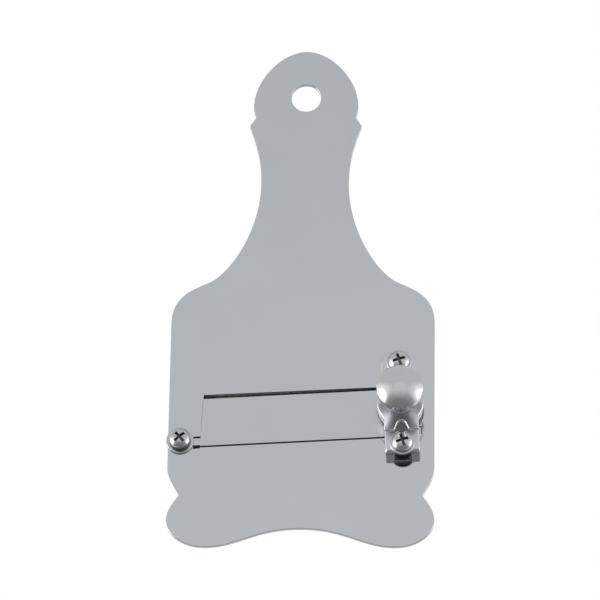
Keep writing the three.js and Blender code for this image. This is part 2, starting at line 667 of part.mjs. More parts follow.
// Fasteners: a screw with its head's underside at headSeat, and its nut behind the paddle
function addScrew(cutter, name, x, y, headSeat, nutSeat, recessTurn) {
  const nutBottom = nutSeat - NUT_THICKNESS;
  const length = headSeat - nutBottom - SCREW_END_INSET;
  const screw = screwGeometry(length, recessTurn);
  place(cutter, name + "_screw", screw, steel(0xc2c0bb, 0.2), x, y, headSeat);
  place(cutter, name + "_nut", nutGeometry(), steel(0xb8b8b6, 0.3), x, y, nutBottom);
}

function addWasher(cutter, name, diameter, x, y, z) {
  const washer = discGeometry(diameter, screwHoleRadius, WASHER_THICKNESS);
  place(cutter, name, washer, steel(0xc0c0be, 0.25), x, y, z);
}

function addPivotFasteners(cutter) {
  const x = pivotScrewX;
  const y = PIVOT_SCREW_Y;
  const lockRadius = LOCK_WASHER_DIAMETER / 2;
  const lockZ = PADDLE_THICKNESS + WASHER_THICKNESS;
  const lock = openRing(lockRadius, screwHoleRadius, LOCK_WASHER_SPLIT, LOCK_WASHER_THICKNESS);
  addWasher(cutter, "pivot_washer", PIVOT_WASHER_DIAMETER, x, y, PADDLE_THICKNESS);
  place(cutter, "pivot_lock_washer", lock, steel(0x46474a, 0.35), x, y, lockZ);
  addScrew(cutter, "pivot", x, y, pivotHeadSeat, backWasherBottom, PIVOT_RECESS_TURN);
  addWasher(cutter, "pivot_back_washer", PIVOT_WASHER_DIAMETER, x, y, backWasherBottom);
}

function addBridgeFasteners(cutter) {
  const size = BRIDGE_WASHER_DIAMETER;
  const turn = BRIDGE_RECESS_TURN;
  addWasher(cutter, "upper_washer", size, upperScrewX, upperScrewY, leafTop);
  addScrew(cutter, "upper", upperScrewX, upperScrewY, upperHeadSeat, backWasherBottom, turn);
  addWasher(cutter, "upper_back_washer", size, upperScrewX, upperScrewY, backWasherBottom);
  addWasher(cutter, "lower_washer", size, knobX, lowerScrewY, leafBottom);
  addScrew(cutter, "lower", knobX, lowerScrewY, lowerHeadSeat, backKeeperBottom, turn);
}

function buildSlicer() {
  const slicer = new THREE.Group();
  const cutter = new THREE.Group();
  cutter.position.y = pivotY;
  cutter.rotation.z = SLANT;
  slicer.add(cutter);
  addPaddle(slicer);
  addBlade(cutter);
  addKnob(cutter);
  addBridge(cutter);
  addPivotFasteners(cutter);
  addBridgeFasteners(cutter);
  return slicer;
}

export default buildSlicer();
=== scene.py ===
import math

import bmesh
import bpy
from mathutils import Matrix, Vector
from mathutils.geometry import tessellate_polygon


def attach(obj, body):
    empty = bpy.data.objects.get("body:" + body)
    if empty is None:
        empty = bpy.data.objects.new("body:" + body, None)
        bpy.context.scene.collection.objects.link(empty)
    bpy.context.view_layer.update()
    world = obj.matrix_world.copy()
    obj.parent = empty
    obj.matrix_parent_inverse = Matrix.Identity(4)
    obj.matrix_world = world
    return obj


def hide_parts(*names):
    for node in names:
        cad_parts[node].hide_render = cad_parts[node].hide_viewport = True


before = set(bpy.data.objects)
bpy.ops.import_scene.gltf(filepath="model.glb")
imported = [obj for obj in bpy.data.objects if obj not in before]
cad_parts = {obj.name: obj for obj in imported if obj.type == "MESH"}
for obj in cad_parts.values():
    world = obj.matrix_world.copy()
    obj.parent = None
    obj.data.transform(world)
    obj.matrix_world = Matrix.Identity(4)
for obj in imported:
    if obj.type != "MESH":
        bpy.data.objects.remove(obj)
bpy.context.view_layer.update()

MM = 0.001

# Paddle, in millimetres: widths and drops of its outline from the head to the feet
PADDLE_THICKNESS = 1.4
HEAD_WIDTH = 35.5
NECK_WIDTH = 33.9
EAR_WIDTH = 38.2
WAIST_WIDTH = 29.6
FLARE_WIDTH = 63.2
BODY_WIDTH = 87.7
HIP_WIDTH = 80.0
FOOT_WIDTH = 87.7
TOE_SPACING = 62.2
HEAD_DROP = 21.0
NECK_DROP = 4.2
EAR_DROP = 3.1
HANDLE_DROP = 21.5
FLARE_DROP = 36.6
SHOULDER_DROP = 15.1
SIDE_LENGTH = 51.0
HIP_DROP = 10.4
LOBE_DROP = 8.4
FOOT_DROP = 9.35
ARCH_RISE = 6.4
HEAD_TOP_FULLNESS = 0.46
HEAD_SIDE_FULLNESS = 0.51
NECK_FULLNESS = 0.57
EAR_ROUNDING = 0.8
EAR_LEAN = math.radians(19.6)
HANDLE_FULLNESS = 0.37
FLARE_FULLNESS = 0.49
FLARE_LEAN = math.radians(25)
FLARE_TAIL = 0.2
SHOULDER_HEAD = 0.41
SHOULDER_FULLNESS = 0.67
HIP_FULLNESS = 0.47
HIP_TAIL = 0.34
HIP_LEAN = math.radians(23)
LOBE_HEAD = 0.4
LOBE_LEAN = math.radians(41)
LOBE_FULLNESS = 0.32
ELLIPSE_FULLNESS = 0.5523
TOE_FULLNESS = 0.35
ARCH_FULLNESS = 0.48
HANG_HOLE_DIAMETER = 10.0
HANG_HOLE_DROP = 17.7

# Cutter: blade, opening, tabs and notches
SLANT = math.radians(3.1)
PIVOT_RISE = 38.9
EAR_RADIUS = 7.4
EAR_DIP = 0.5
EDGE_STEP = 0.7
BLADE_THICKNESS = 0.8
BLADE_REST_TILT = math.radians(2.8)
REAR_LIP = 0.3
BEVEL_LENGTH = 2.6
BEVEL_RUNOUT = 0.5
EDGE_LAND = 0.12
OPENING_INSET = 12.25
LEFT_EDGE_LEAN = 0.105
SLOT_TAPER = 0.45
REAR_GAP = 0.65
SIDE_GAP = 0.02
OPENING_GAP = 0.4
BULGE_GAP = 0.06
TAB_WIDTH = 2.4
TAB_END_GAP = 0.6
LEFT_NOTCH_WALL = 0.75
LEFT_NOTCH_FRONT_GAP = 0.45
LEFT_NOTCH_REAR_GAP = 1.3
RIGHT_NOTCH_REACH = 6.5
RIGHT_NOTCH_FRONT_GAP = 0.04
RIGHT_NOTCH_REAR_GAP = 0.04
RIGHT_TAB_END_GAP = 0.06

# Knob, stem, ring and boss
KNOB_INSET = 10.75
KNOB_DIAMETER = 15.1
KNOB_RIM_HEIGHT = 12.6
KNOB_BAND_HEIGHT = 2.6
KNOB_DOME_HEIGHT = 2.7
KNOB_RIM_ROUNDING = 0.35
KNOB_RIM_EDGE = 0.12
COLLAR_DIAMETER = 9.2
COLLAR_HEIGHT = 1.2
COLLAR_CHAMFER = 0.15
COLLAR_TOP_ROUNDING = 0.5
NECK_DIAMETER = 8.2
NECK_HEIGHT = 4.2
STEM_DIAMETER = 4.0
STEM_SOCKET_DEPTH = 8.0
STEM_BELOW_PADDLE = 1.6
SOCKET_CLEARANCE = 0.1
STEM_PLAY = 0.4
STEM_BEARING_CLEARANCE = 0.1
KNOB_RUNNING_GAP = 0.1
RING_DIAMETER = 7.2
RING_THICKNESS = 0.6
RING_MOUTH = math.radians(85)
GROOVE_DEPTH = 0.45
GROOVE_CLEARANCE = 0.1
BOSS_THICKNESS = 1.2

# Bridge, friction leaf, spacers and keepers
BRIDGE_RISE = 4.0
BRIDGE_THICKNESS = 1.2
BRIDGE_WIDTH = 11.4
BRIDGE_TAIL = 3.25
BEND_RADIUS = 0.3
LEG_CLEARANCE = 0.1
BRIDGE_NOSE = 4.5
UPPER_SCREW_REACH = 13.85
UPPER_SCREW_SHIFT = 0.3
LOWER_SCREW_INSET = 4.2
PAD_DIAMETER = 15.4
PAD_FILLET = 3.5
LEAF_THICKNESS = 0.8
LEAF_END_GAP = 0.35
LEAF_NOTCH_WIDTH = 5.7
LEAF_NOTCH_DEPTH = 3.3
LEAF_NOTCH_CROWN = 0.67
LEAF_NOTCH_FLARE = 0.6
SPACER_WALL = 0.25
KEEPER_THICKNESS = 0.8
KEEPER_BOSS_GAP = 0.45
KEEPER_REAR_MARGIN = 0.85
KEEPER_EYE_WALL = 0.35
KEEPER_INSET = 0.4

# Fasteners
PIVOT_SCREW_INSET = 3.95
PIVOT_SCREW_Y = 0.3
SCREW_DIAMETER = 4.0
SCREW_CLEARANCE = 0.15
SCREW_HEAD_DIAMETER = 7.0
SCREW_HEAD_HEIGHT = 2.6
SCREW_HEAD_EDGE = 0.6
SCREW_RIM_ROUNDING = 0.35
SCREW_END_INSET = 0.2
RECESS_SPAN = 4.2
RECESS_WIDTH = 0.95
RECESS_DEPTH = 1.5
RECESS_SKIN = 0.05
RECESS_OVERCUT = 0.5
PIVOT_WASHER_DIAMETER = 9.1
BRIDGE_WASHER_DIAMETER = 8.4
WASHER_THICKNESS = 0.8
WASHER_SKIN = 0.01
LOCK_WASHER_DIAMETER = 7.0
LOCK_WASHER_THICKNESS = 1.1
LOCK_WASHER_SPLIT = math.radians(10)
NUT_SIDES = 6
NUT_ACROSS_FLATS = 7.0
NUT_THICKNESS = 2.2
NUT_CHAMFER = 0.45
NUT_CHAMFER_OVERCUT = 0.05
THREAD_PITCH = 0.7
THREAD_DEPTH = 0.38
THREAD_STEEPNESS = 1.25
PIVOT_RECESS_TURN = math.radians(38)
BRIDGE_RECESS_TURN = math.radians(15)

# Rounding of sheet edges
PADDLE_EDGE = 0.18
BLADE_EDGE = 0.06
BRIDGE_EDGE = 0.55
LEAF_EDGE = 0.3
WASHER_EDGE = 0.22
SMALL_EDGE = 0.12
CRISP_EDGE = 0.02

# Mesh fineness
CURVE_STEPS = 28
ARC_STEPS = 40
ROUND_STEPS = 72
KNOB_STEPS = 112
EDGE_STEPS = 3
ROUNDING_STEPS = 10
SCREW_RIM_STEPS = 6
THREAD_STEPS = 8
BEND_STEPS = 16
SAME_POINT = 1e-4
ON_AXIS = 1e-6
MITRE_LIMIT = 0.3
SHARP_ANGLE = math.radians(35)
LEVEL = 0.99999

# Sizes that follow
paddle_length = (HEAD_DROP + NECK_DROP + EAR_DROP + HANDLE_DROP + FLARE_DROP + SHOULDER_DROP
                 + SIDE_LENGTH + HIP_DROP + LOBE_DROP + FOOT_DROP)
paddle_top = paddle_length / 2
pivot_y = PIVOT_RISE - paddle_length / 2
pivot_z = PADDLE_THICKNESS / 2
tab_half = TAB_WIDTH / 2
knob_x = BODY_WIDTH / 2 - KNOB_INSET
knob_y = tab_half + EAR_RADIUS - EAR_DIP
edge_reach = knob_y + EAR_RADIUS - EDGE_STEP
blade_rear = -tab_half - REAR_LIP
opening_rear = blade_rear - REAR_GAP
opening_left = BODY_WIDTH / 2 - OPENING_INSET
bulge_radius = EAR_RADIUS + BULGE_GAP
opening_front_right = knob_y + EAR_RADIUS + OPENING_GAP
opening_front_left = opening_front_right + SLOT_TAPER
screw_hole = SCREW_DIAMETER / 2 + SCREW_CLEARANCE
pivot_screw_x = PIVOT_SCREW_INSET - BODY_WIDTH / 2
left_notch_end = pivot_screw_x + screw_hole + LEFT_NOTCH_WALL
right_notch_end = knob_x + RIGHT_NOTCH_REACH
stem_radius = STEM_DIAMETER / 2
stem_hole = stem_radius + STEM_PLAY
bearing_hole = stem_radius + STEM_BEARING_CLEARANCE
upper_screw_x = knob_x + UPPER_SCREW_SHIFT
upper_screw_y = knob_y + UPPER_SCREW_REACH
lower_screw_y = opening_rear - LOWER_SCREW_INSET
lower_reach = knob_y - lower_screw_y
leaf_reach = lower_reach - BRIDGE_WASHER_DIAMETER / 2 - LEAF_END_GAP
spacer_radius = screw_hole + SPACER_WALL
keeper_eye = screw_hole + KEEPER_EYE_WALL
leg_face = -lower_reach - BRIDGE_TAIL
bend_reach = BRIDGE_THICKNESS + BEND_RADIUS
bend_start = leg_face + bend_reach
bend_arc = math.pi / 2 * bend_reach
bridge_bottom = PADDLE_THICKNESS + BRIDGE_RISE
leaf_bottom = bridge_bottom + BRIDGE_THICKNESS
leaf_top = leaf_bottom + LEAF_THICKNESS
knob_bottom = leaf_top + KNOB_RUNNING_GAP
groove_radius = stem_radius - GROOVE_DEPTH
ring_bottom = bridge_bottom - GROOVE_CLEARANCE - RING_THICKNESS
groove_bottom = ring_bottom - GROOVE_CLEARANCE
floor_level = -WASHER_THICKNESS - NUT_THICKNESS

CUTTER = Matrix.Translation((0, pivot_y, 0)) @ Matrix.Rotation(SLANT, 4, "Z")
TILTED = CUTTER @ Matrix.Translation((0, 0, pivot_z)) @ Matrix.Rotation(BLADE_REST_TILT, 4, "X")


# Plane curves, as lists of (x, y)
def bezier(p0, p1, p2, p3, steps=CURVE_STEPS):
    points = []
    for i in range(steps + 1):
        t = i / steps
        s = 1 - t
        weights = (s * s * s, 3 * s * s * t, 3 * s * t * t, t * t * t)
        x = sum(w * p[0] for w, p in zip(weights, (p0, p1, p2, p3)))
        y = sum(w * p[1] for w, p in zip(weights, (p0, p1, p2, p3)))
        points.append((x, y))
    return points


def quadratic(p0, p1, p2, steps=CURVE_STEPS // 2):
    c1 = tuple(a + (b - a) * 2 / 3 for a, b in zip(p0, p1))
    c2 = tuple(a + (b - a) * 2 / 3 for a, b in zip(p2, p1))
    return bezier(p0, c1, c2, p2, steps)


def arc(cx, cy, radius, start, end, steps=ARC_STEPS, height=None):
    points = []
    for i in range(steps + 1):
        angle = start + (end - start) * i / steps
        tall = radius if height is None else height
        points.append((cx + radius * math.cos(angle), cy + tall * math.sin(angle)))
    return points


def circle(cx, cy, radius, steps=ROUND_STEPS):
    return arc(cx, cy, radius, 0, 2 * math.pi, steps)[:-1]


def tidy_loop(points):
    loop = []
    for p in points:
        if not loop or math.dist(p, loop[-1]) > SAME_POINT:
            loop.append(p)
    if math.dist(loop[0], loop[-1]) < SAME_POINT:
        loop.pop()
    return loop


def mirrored(half):
    return half + [(-x, y) for x, y in reversed(half[1:-1])]


def area(loop):
    return sum(a[0] * b[1] - b[0] * a[1] for a, b in zip(loop, loop[1:] + loop[:1])) / 2


def inset(loop, amount):
    """Moves a loop to its left, which is into the material, keeping its corners."""
    moved = []
    for i, p in enumerate(loop):
        before = Vector(p) - Vector(loop[i - 1])
        after = Vector(loop[(i + 1) % len(loop)]) - Vector(p)
        before.normalize()
        after.normalize()
        n1 = Vector((-before.y, before.x))
        n2 = Vector((-after.y, after.x))
        mitre = (n1 + n2) / max(1 + n1.dot(n2), MITRE_LIMIT)
        moved.append((p[0] + mitre.x * amount, p[1] + mitre.y * amount))
    return moved


# Meshes, in millimetres until they are placed
def sheet(outline, holes, bottom, top, upper_edge, lower_edge):
    """A flat sheet with holes and rounded edges, whose upright walls take the second finish."""
    loops = [tidy_loop(loop) for loop in [outline, *holes]]
    for i, loop in enumerate(loops):
        if (area(loop) > 0) != (i == 0):
            loop.reverse()
    rings = []
    for j in range(EDGE_STEPS + 1):
        turn = math.pi / 2 * (1 - j / EDGE_STEPS)
        rings.append((lower_edge * (1 - math.cos(turn)), bottom + lower_edge * (1 - math.sin(turn))))
    for j in range(EDGE_STEPS + 1):
        turn = math.pi / 2 * j / EDGE_STEPS
        rings.append((upper_edge * (1 - math.cos(turn)), top - upper_edge * (1 - math.sin(turn))))
    bm = bmesh.new()
    levels = []
    for amount, z in rings:
        levels.append([[bm.verts.new((x, y, z)) for x, y in inset(loop, amount)] for loop in loops])
    for low, high in zip(levels, levels[1:]):
        for a, b in zip(low, high):
            for i in range(len(a)):
                k = (i + 1) % len(a)
                wall = bm.faces.new((a[i], a[k], b[k], b[i]))
                wall.smooth = True
                wall.material_index = int(low is levels[EDGE_STEPS])
    for level, flip in ((levels[0], True), (levels[-1], False)):
        verts = [vertex for loop in level for vertex in loop]
        flat = [[Vector((vertex.co.x, vertex.co.y, 0)) for vertex in loop] for loop in level]
        for triangle in tessellate_polygon(flat):
            corners = [verts[i] for i in triangle]
            a, b, c = (vertex.co for vertex in corners)
            up = (b - a).cross(c - a).z > 0
            if up == flip:
                corners.reverse()
            bm.faces.new(corners).smooth = False
    return bm


def turned(profile, steps=ROUND_STEPS):
    """A profile of (radius, height), turned about the axis."""
    bm = bmesh.new()
    rings = []
    for radius, z in profile:
        if radius < ON_AXIS:
            rings.append([bm.verts.new((0, 0, z))])
        else:
            rings.append([bm.verts.new((x, y, z)) for x, y in circle(0, 0, radius, steps)])
    for a, b in zip(rings, rings[1:]):
        for i in range(steps):
            k = (i + 1) % steps
            corners = [a[i % len(a)], a[k % len(a)], b[k % len(b)], b[i % len(b)]]
            unique = list(dict.fromkeys(corners))
            bm.faces.new(unique).smooth = True
    return bm


def threaded(bottom, top, crest, steps=ROUND_STEPS // 2):
    """A closed rod with a right-hand thread that fades out towards both ends."""
    root = crest - THREAD_DEPTH
    count = int((top - bottom) / THREAD_PITCH * THREAD_STEPS)
    bm = bmesh.new()
    rings = [[bm.verts.new((0, 0, bottom))]]
    for j in range(count + 1):
        z = bottom + (top - bottom) * j / count
        ends = min(1, (z - bottom) / THREAD_PITCH, (top - z) / THREAD_PITCH)
        ring = []
        for i in range(steps):
            phase = (z / THREAD_PITCH - i / steps) % 1
            height = (1 - abs(2 * phase - 1)) * ends
            radius = root + THREAD_DEPTH * min(1, THREAD_STEEPNESS * height)
            angle = 2 * math.pi * i / steps
            ring.append(bm.verts.new((radius * math.cos(angle), radius * math.sin(angle), z)))
        rings.append(ring)
    for a, b in zip(rings, rings[1:]):
        for i in range(steps):
            k = (i + 1) % steps
            corners = list(dict.fromkeys([a[i % len(a)], a[k % len(a)], b[k], b[i]]))
            bm.faces.new(corners).smooth = True
    bm.faces.new(rings[-1])
    return bm


def joined(*parts):
    mesh = bpy.data.meshes.new("joined")
    whole = bmesh.new()
    for part in parts:
        part.to_mesh(mesh)
        whole.from_mesh(mesh)
        part.free()
    bpy.data.meshes.remove(mesh)
    return whole


def hull_of(points):
    bm = bmesh.new()
    for p in points:
        bm.verts.new(p)
    bmesh.ops.convex_hull(bm, input=bm.verts)
    return bm


def object_of(name, bm):
    mesh = bpy.data.meshes.new(name)
    bmesh.ops.recalc_face_normals(bm, faces=bm.faces)
    bm.to_mesh(mesh)
    bm.free()
    obj = bpy.data.objects.new(name, mesh)
    bpy.context.scene.collection.objects.link(obj)
    return obj


def cut(obj, cutter, operation="DIFFERENCE"):
    """Cuts one object by another, which is used up."""
    modifier = obj.modifiers.new("cut", "BOOLEAN")
    modifier.operation = operation
    modifier.solver = "EXACT"
    modifier.object = cutter
    bpy.context.view_layer.update()
    evaluated = obj.evaluated_get(bpy.context.evaluated_depsgraph_get())
    mesh = bpy.data.meshes.new_from_object(evaluated)
    obj.modifiers.clear()
    old = obj.data
    obj.data = mesh
    bpy.data.meshes.remove(old)
    bpy.data.objects.remove(cutter)


def finish_piece(obj, node, body, slot, place, *finishes):
    """Puts a piece in the frame, in metres, in place of its CAD node."""
    curved = [max(abs(c) for c in face.normal) < LEVEL for face in obj.data.polygons]
    obj.data.transform(Matrix.Scale(MM, 4) @ place)
    obj.data.set_sharp_from_angle(angle=SHARP_ANGLE)
    obj.data.polygons.foreach_set("use_smooth", curved)
    for finish in finishes:
        obj.data.materials.append(finish)
    if len(finishes) == 1:
        obj.data.polygons.foreach_set("material_index", [0] * len(curved))
    obj.name = node + "_steel"
    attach(obj, body)
    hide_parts(node)


def at(x, y, z=0):
    return CUTTER @ Matrix.Translation((x, y, z))


# Shader nodes
def combined(tree, operation, *values):
    """Works out one value from others, each an output or a plain number."""
    node = tree.nodes.new("ShaderNodeMath")
    node.operation = operation
    for socket, value in zip(node.inputs, values):
        if isinstance(value, (int, float)):
            socket.default_value = value
        else:
            tree.links.new(value, socket)
    return node.outputs[0]


def ramped(tree, value, start, end, low, high, interpolation="SMOOTHSTEP"):
    """Goes from low to high as a value goes from start to end."""
    node = tree.nodes.new("ShaderNodeMapRange")
    node.interpolation_type = interpolation
    for name, number in (("From Min", start), ("From Max", end), ("To Min", low), ("To Max", high)):
        node.inputs[name].default_value = number
    tree.links.new(value, node.inputs["Value"])
    return node.outputs["Result"]


def mixed(tree, share, first, second):
    """Goes from the first shader to the second as the share goes from 0 to 1."""
    node = tree.nodes.new("ShaderNodeMixShader")
    for socket, output in zip(node.inputs, (share, first, second)):
        tree.links.new(output, socket)
    return node.outputs[0]


# Steel finishes, some of whose colours are painted shade or painted light
GRAIN_DETAIL = 4
GRAIN_DEPTH = 0.00002
CLOUD_SCALE = 45
CLOUD_DETAIL = 3
CLOUD_RANGE = (0.3, 0.7)
SUM_RANGE = (0.6, 1.4)


def steel(name, colour, roughness, spread, grain, tint=0.03, relief=0.02, metal=1):
    """Metal with a fine grain along one direction and a slow change of tone."""
    material = bpy.data.materials.new(name)
    material.use_nodes = True
    tree = material.node_tree
    nodes = tree.nodes
    links = tree.links
    shader = nodes["Principled BSDF"]
    shader.inputs["Metallic"].default_value = metal
    coords = nodes.new("ShaderNodeTexCoord")
    stretch = nodes.new("ShaderNodeMapping")
    stretch.inputs["Scale"].default_value = grain
    links.new(coords.outputs["Object"], stretch.inputs["Vector"])
    fine = nodes.new("ShaderNodeTexNoise")
    fine.inputs["Scale"].default_value = 1
    fine.inputs["Detail"].default_value = GRAIN_DETAIL
    links.new(stretch.outputs["Vector"], fine.inputs["Vector"])
    cloud = nodes.new("ShaderNodeTexNoise")
    cloud.inputs["Scale"].default_value = CLOUD_SCALE
    cloud.inputs["Detail"].default_value = CLOUD_DETAIL
    links.new(coords.outputs["Object"], cloud.inputs["Vector"])
    both = combined(tree, "ADD", fine.outputs["Fac"], cloud.outputs["Fac"])
    rough = ramped(tree, both, *SUM_RANGE, roughness - spread, roughness + spread, "LINEAR")
    links.new(rough, shader.inputs["Roughness"])
    tone = nodes.new("ShaderNodeValToRGB")
    for stop, position, factor in zip(tone.color_ramp.elements, CLOUD_RANGE, (1 - tint, 1 + tint)):
        stop.position = position
        stop.color = [c * factor for c in colour] + [1]
    links.new(cloud.outputs["Fac"], tone.inputs["Fac"])
    links.new(tone.outputs["Color"], shader.inputs["Base Color"])
    bump = nodes.new("ShaderNodeBump")
    bump.inputs["Strength"].default_value = relief
    bump.inputs["Distance"].default_value = GRAIN_DEPTH
    links.new(fine.outputs["Fac"], bump.inputs["Height"])
    links.new(bump.outputs["Normal"], shader.inputs["Normal"])
    return material


POLISHED = steel("polished_sheet", (0.432, 0.448, 0.466), 0.06, 0.02, (2600, 60, 2600), 0.012)
STRAP = steel("satin_strap", (0.446, 0.46, 0.478), 0.17, 0.04, (2600, 90, 2600), 0.02)
STRAP_EDGE = steel("strap_edge", (0.446, 0.46, 0.478), 0.08, 0.03, (900, 900, 900), 0.02)
GROUND = steel("ground_blade", (0.418, 0.432, 0.45), 0.2, 0.03, (90, 2600, 2600), 0.012)
CUT_EDGE = steel("cut_edge", (0.36, 0.365, 0.372), 0.3, 0.06, (700, 700, 4000), 0.06, 0.08)
TURNED_KNOB = steel("turned_knob", (0.455, 0.458, 0.463), 0.11, 0.02, (500, 500, 3000), 0.02)
PLAIN = steel("plain_turned", (0.3, 0.303, 0.308), 0.1, 0.03, (700, 700, 4000), 0.05, 0.06)
FASTENER = steel("bright_fastener", (0.41, 0.415, 0.42), 0.14, 0.04, (1200, 1200, 1200), 0.03, 0.05)
# Dull boss steel, lighter and partly non-metal: painted light on the boss, which sits in shade under the pad
BOSS_PAINTED_LIGHT = steel("dull_boss_painted_light", (0.6, 0.6, 0.6), 0.5, 0.1, (900, 900, 900), 0.05, 0.08, 0.3)
# Rough steel for the undersides, its colour raised near white as painted light, so that their shaded
# reflection reads lighter
UNDERSIDE_PAINTED_LIGHT = steel("dull_underside_painted_light", (0.97, 0.97, 0.97), 0.45, 0.1, (900, 900, 900), 0.05, 0.08)
# Near-black spring steel: painted shade under the pivot screw's head
LOCK_WASHER_SHADE = steel("spring_steel_shade", (0.06, 0.06, 0.063), 0.35, 0.08, (1200, 1200, 1200), 0.08, 0.06)
# Near-black steel: painted shade on the spacers and keepers, which sit in shade under the bridge and the
# paddle
DARK_SHADE_STEEL = steel("blackened_steel", (0.032, 0.032, 0.034), 0.4, 0.08, (1200, 1200, 1200), 0.08, 0.06)
# Dark steel: painted shade inside the screws' cross recesses
RECESS_SHADE = steel("recess_shade", (0.11, 0.11, 0.115), 0.5, 0.1, (1500, 1500, 1500), 0.1, 0.06)


# Paddle
def paddle_half():
    head = paddle_top - HEAD_DROP
    neck = head - NECK_DROP
    ear = neck - EAR_DROP
    waist = ear - HANDLE_DROP
    flare = waist - FLARE_DROP
    side_top = flare - SHOULDER_DROP
    side_end = side_top - SIDE_LENGTH
    hip = side_end - HIP_DROP
    lobe = hip - LOBE_DROP
    toe = lobe - FOOT_DROP
    arch = toe + ARCH_RISE
    head_x, waist_x, body_x = HEAD_WIDTH / 2, WAIST_WIDTH / 2, BODY_WIDTH / 2
    foot_x, toe_x = FOOT_WIDTH / 2, TOE_SPACING / 2
    neck_point = Vector((NECK_WIDTH / 2, neck))
    ear_tip = Vector((EAR_WIDTH / 2, ear))
    ear_down = Vector((-math.sin(EAR_LEAN), -math.cos(EAR_LEAN)))
    ear_start = ear_tip + (neck_point - ear_tip).normalized() * EAR_ROUNDING
    ear_end = ear_tip + ear_down * EAR_ROUNDING
    ear_pull = ear_end + ear_down * HANDLE_FULLNESS * HANDLE_DROP
    flare_point = Vector((FLARE_WIDTH / 2, flare))
    flare_run = Vector((math.cos(FLARE_LEAN), -math.sin(FLARE_LEAN)))
    flare_pull = flare_point - flare_run * FLARE_TAIL * FLARE_DROP
    shoulder_pull = flare_point + flare_run * SHOULDER_HEAD * SHOULDER_DROP
    hip_point = Vector((HIP_WIDTH / 2, hip))
    hip_pull = hip_point + Vector((math.sin(HIP_LEAN), math.cos(HIP_LEAN))) * HIP_TAIL * HIP_DROP
    lobe_pull = hip_point + Vector((math.sin(LOBE_LEAN), -math.cos(LOBE_LEAN))) * LOBE_HEAD * LOBE_DROP
    toe_run = foot_x - toe_x
    half = bezier((0, paddle_top), (HEAD_TOP_FULLNESS * head_x, paddle_top),
                  (head_x, head + HEAD_SIDE_FULLNESS * HEAD_DROP), (head_x, head))
    half += quadratic((head_x, head), (head_x, neck + NECK_FULLNESS * NECK_DROP), neck_point[:])
    half += quadratic(ear_start[:], ear_tip[:], ear_end[:], CURVE_STEPS // 4)
    half += bezier(ear_end, ear_pull, (waist_x, waist + HANDLE_FULLNESS * HANDLE_DROP), (waist_x, waist))
    half += bezier((waist_x, waist), (waist_x, waist - FLARE_FULLNESS * FLARE_DROP), flare_pull, flare_point)
    half += bezier(flare_point, shoulder_pull,
                   (body_x, side_top + SHOULDER_FULLNESS * SHOULDER_DROP), (body_x, side_top))
    half += bezier((body_x, side_end), (body_x, side_end - HIP_FULLNESS * HIP_DROP), hip_pull, hip_point)
    half += bezier(hip_point, lobe_pull, (foot_x, lobe + LOBE_FULLNESS * LOBE_DROP), (foot_x, lobe))
    half += bezier((foot_x, lobe), (foot_x, lobe - ELLIPSE_FULLNESS * FOOT_DROP),
                   (toe_x + ELLIPSE_FULLNESS * toe_run, toe), (toe_x, toe))
    half += bezier((toe_x, toe), (toe_x - TOE_FULLNESS * toe_x, toe),
                   (ARCH_FULLNESS * toe_x, arch), (0, arch))
    return tidy_loop(half)


def opening_left_at(y):
    return -opening_left - (opening_front_left - y) * LEFT_EDGE_LEAN


def blade_tab_root():
    return knob_x + math.sqrt(EAR_RADIUS ** 2 - (knob_y - tab_half) ** 2)


def opening_loop():
    left_front = tab_half + LEFT_NOTCH_FRONT_GAP
    left_rear = -tab_half - LEFT_NOTCH_REAR_GAP
    right_front = tab_half + RIGHT_NOTCH_FRONT_GAP
    right_rear = -tab_half - RIGHT_NOTCH_REAR_GAP
    right_root = blade_tab_root() + BULGE_GAP
    bulge_end = math.asin((right_front - knob_y) / bulge_radius)
    rear_left = opening_left_at(opening_rear)
    loop = [(-opening_left, opening_front_left)]
    loop += arc(knob_x, knob_y, bulge_radius, math.pi / 2, 0, ARC_STEPS, opening_front_right - knob_y)
    loop += arc(knob_x, knob_y, bulge_radius, 0, bulge_end)
    loop += [(right_notch_end, right_front), (right_notch_end, right_rear)]
    loop += [(right_root, right_rear), (right_root, opening_rear)]
    loop += [(rear_left, opening_rear), (rear_left, left_rear)]
    loop += [(left_notch_end, left_rear), (left_notch_end, left_front)]
    loop += [(opening_left_at(left_front), left_front)]
    return loop


def in_paddle(loop):
    return [(CUTTER @ Vector((x, y, 0)))[:2] for x, y in loop]


def make_paddle():
    holes = [in_paddle(opening_loop()), circle(0, paddle_top - HANG_HOLE_DROP, HANG_HOLE_DIAMETER / 2)]
    for x, y in ((pivot_screw_x, PIVOT_SCREW_Y), (upper_screw_x, upper_screw_y), (knob_x, lower_screw_y)):
        holes.append(in_paddle(circle(x, y, screw_hole)))
    bm = sheet(mirrored(paddle_half()), holes, 0, PADDLE_THICKNESS, PADDLE_EDGE, PADDLE_EDGE)
    finish_piece(object_of("paddle_sheet", bm), "paddle", "frame", "polished_steel", Matrix(), POLISHED,
                 CUT_EDGE)


# Blade and boss
def blade_ear_start():
    return knob_x - math.sqrt(EAR_RADIUS ** 2 - (edge_reach - knob_y) ** 2)


def blade_loop():
    ear_start = math.pi - math.asin((edge_reach - knob_y) / EAR_RADIUS)
    ear_end = math.asin((tab_half - knob_y) / EAR_RADIUS)
    tab_right = right_notch_end - RIGHT_TAB_END_GAP
    tab_left = left_notch_end + TAB_END_GAP
    root = blade_tab_root()
    loop = [(opening_left_at(edge_reach) + SIDE_GAP, edge_reach)]
    loop += arc(knob_x, knob_y, EAR_RADIUS, ear_start, ear_end)
    loop += [(tab_right, tab_half), (tab_right, -tab_half), (root, -tab_half), (root, blade_rear)]
    loop += [(opening_left_at(blade_rear) + SIDE_GAP, blade_rear)]
    loop += [(opening_left_at(-tab_half) + SIDE_GAP, -tab_half), (tab_left, -tab_half)]
    loop += [(tab_left, tab_half), (opening_left_at(tab_half) + SIDE_GAP, tab_half)]
    return loop


